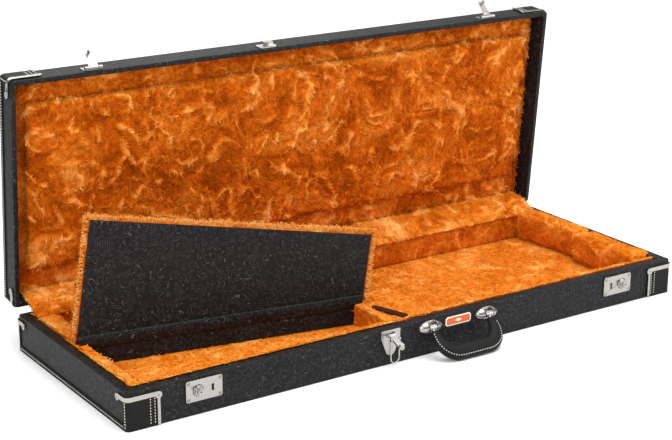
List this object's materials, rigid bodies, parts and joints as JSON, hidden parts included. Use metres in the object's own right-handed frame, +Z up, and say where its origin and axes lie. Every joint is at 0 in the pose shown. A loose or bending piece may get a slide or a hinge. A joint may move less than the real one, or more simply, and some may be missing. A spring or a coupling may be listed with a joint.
{
  "type": "guitar case",
  "caption": "Rectangular hard case for an electric guitar, with a hinged lid, plush padding, a lidded accessory compartment, locks, a draw latch and a swinging handle.",
  "frame": {"origin": "centre of the base's underside, on the surface that the case lies on", "axes": "+X along the case towards the body end, -Y the front with the handle and the locks, +Y the hinge side, +Z up"},
  "size_m": [1.0572, 0.4739, 0.471],
  "materials": {
    "vinyl": "black tooled-pattern vinyl bonded to plywood",
    "pocket_vinyl": "black tooled-pattern vinyl on board",
    "black_leather": "smooth black leather with white stitching",
    "brown_leather": "dark brown leather",
    "nickel": "bright nickel plate",
    "plush": "crushed orange long-pile plush",
    "badge": "orange enamel with a pale border"
  },
  "bodies": {
    "base": {"base_floor_panel": "vinyl", "base_front_wall": "vinyl", "base_rear_wall": "vinyl", "base_left_end": "vinyl", "base_right_end": "vinyl", "leather_end_base_left": "black_leather", "leather_end_base_right": "black_leather", "corner_clamp_base_front_left": "nickel", "corner_clamp_base_front_right": "nickel", "corner_clamp_base_rear_left": "nickel", "corner_clamp_base_rear_right": "nickel", "lock_plate_left": "nickel", "lock_plate_right": "nickel", "draw_latch_plate": "nickel", "handle_bracket_left": "nickel", "handle_bracket_right": "nickel", "badge_plate": "badge", "hinge_leaf_base_left": "nickel", "hinge_leaf_base_middle": "nickel", "hinge_leaf_base_right": "nickel", "bed_pad": "plush", "rear_bolster": "plush", "front_bolster": "plush", "end_bolster_rear": "plush", "end_bolster_front": "plush", "neck_block": "plush", "head_block": "plush", "compartment_left_wall": "plush", "compartment_rear_wall": "pocket_vinyl", "compartment_right_wall": "plush", "compartment_front_ledge": "plush", "pull_tab": "brown_leather"},
    "lid": {"lid_panel": "vinyl", "lid_front_wall": "vinyl", "lid_rear_wall": "vinyl", "lid_left_end": "vinyl", "lid_right_end": "vinyl", "leather_end_lid_left": "black_leather", "leather_end_lid_right": "black_leather", "corner_clamp_lid_front_left": "nickel", "corner_clamp_lid_front_right": "nickel", "corner_clamp_lid_rear_left": "nickel", "corner_clamp_lid_rear_right": "nickel", "lid_lining": "plush", "lid_raised_pad": "plush", "hasp_plate_left": "nickel", "hasp_plate_right": "nickel", "lid_catch": "nickel", "hinge_leaf_lid_left": "nickel", "hinge_leaf_lid_middle": "nickel", "hinge_leaf_lid_right": "nickel"},
    "compartment_lid": {"compartment_lid_board": "pocket_vinyl", "compartment_lid_plush": "plush"},
    "handle": {"handle_grip": "black_leather"},
    "lock_slide_left": {"lock_slide_left": "nickel"},
    "lock_slide_right": {"lock_slide_right": "nickel"},
    "draw_lever": {"draw_lever": "nickel"},
    "draw_bail": {"draw_bail": "nickel"},
    "hasp_left": {"hasp_left": "nickel"},
    "hasp_right": {"hasp_right": "nickel"}
  },
  "joints": [
    {"name": "lid_hinge", "type": "hinge", "parent": "base", "child": "lid", "pos_m": [0, 0.1935, 0.06], "axis": [1, 0, 0], "range_deg": [0, 85]},
    {"name": "compartment_hinge", "type": "hinge", "parent": "base", "child": "compartment_lid", "pos_m": [-0.2625, -0.0085, 0.052], "axis": [0.9847, -0.1743, 0], "range_deg": [0, 95]},
    {"name": "handle_swing", "type": "hinge", "parent": "base", "child": "handle", "pos_m": [0.061, -0.1935, 0.047], "axis": [-1, 0, 0], "range_deg": [0, 120]},
    {"name": "lock_slide_left", "type": "slide", "parent": "base", "child": "lock_slide_left", "axis": [-1, 0, 0], "range_m": [0, 0.004], "stiffness_N_per_m": 200},
    {"name": "lock_slide_right", "type": "slide", "parent": "base", "child": "lock_slide_right", "axis": [1, 0, 0], "range_m": [0, 0.004], "stiffness_N_per_m": 200},
    {"name": "lever_hinge", "type": "hinge", "parent": "base", "child": "draw_lever", "pos_m": [-0.071, -0.1915, 0.05], "axis": [1, 0, 0], "range_deg": [-45, 65]},
    {"name": "bail_swing", "type": "hinge", "parent": "draw_lever", "child": "draw_bail", "pos_m": [-0.071, -0.19966, 0.0462], "axis": [1, 0, 0], "range_deg": [-65, 45]},
    {"name": "hasp_hinge_left", "type": "hinge", "parent": "lid", "child": "hasp_left", "pos_m": [-0.387, 0.1645, 0.44313], "axis": [1, 0, 0], "range_deg": [0, 140], "stiffness_Nm_per_rad": 0.004, "springref_deg": -20.05},
    {"name": "hasp_hinge_right", "type": "hinge", "parent": "lid", "child": "hasp_right", "pos_m": [0.387, 0.1645, 0.44313], "axis": [1, 0, 0], "range_deg": [0, 140], "stiffness_Nm_per_rad": 0.004, "springref_deg": -20.05}
  ],
  "couplings": [
    {"joint": "compartment_hinge", "follows": "lid_hinge", "ratio": 1.1176},
    {"joint": "bail_swing", "follows": "lever_hinge", "ratio": -1}
  ]
}
